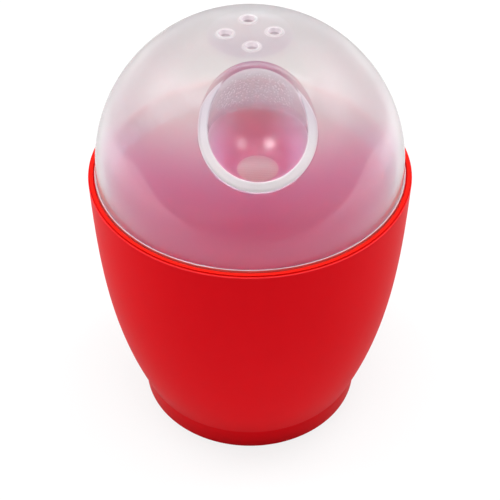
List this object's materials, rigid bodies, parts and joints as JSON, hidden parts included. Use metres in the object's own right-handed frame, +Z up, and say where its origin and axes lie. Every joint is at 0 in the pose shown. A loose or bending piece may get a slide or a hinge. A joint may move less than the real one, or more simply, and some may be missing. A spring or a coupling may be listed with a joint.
{
  "type": "microwave egg cooker",
  "caption": "Small red plastic cup on a narrow foot, with a milky domed lid that plugs in, a thumb recess and steam vents.",
  "frame": {"origin": "middle of the foot's ring, on the surface that the cup stands on", "axes": "+Z up along the axis of cup and lid; the lid's thumb recess faces -Y"},
  "size_m": [0.0728, 0.0728, 0.1019],
  "materials": {
    "red_plastic": "satin moulded polypropylene",
    "milky_plastic": "milky see-through moulded polypropylene"
  },
  "bodies": {
    "base": {"cup": "red_plastic"},
    "lid": {"lid": "milky_plastic"}
  },
  "joints": [
    {"name": "lid_lift", "type": "slide", "parent": "base", "child": "lid", "axis": [0, 0, 1], "range_m": [0, 0.05]}
  ]
}
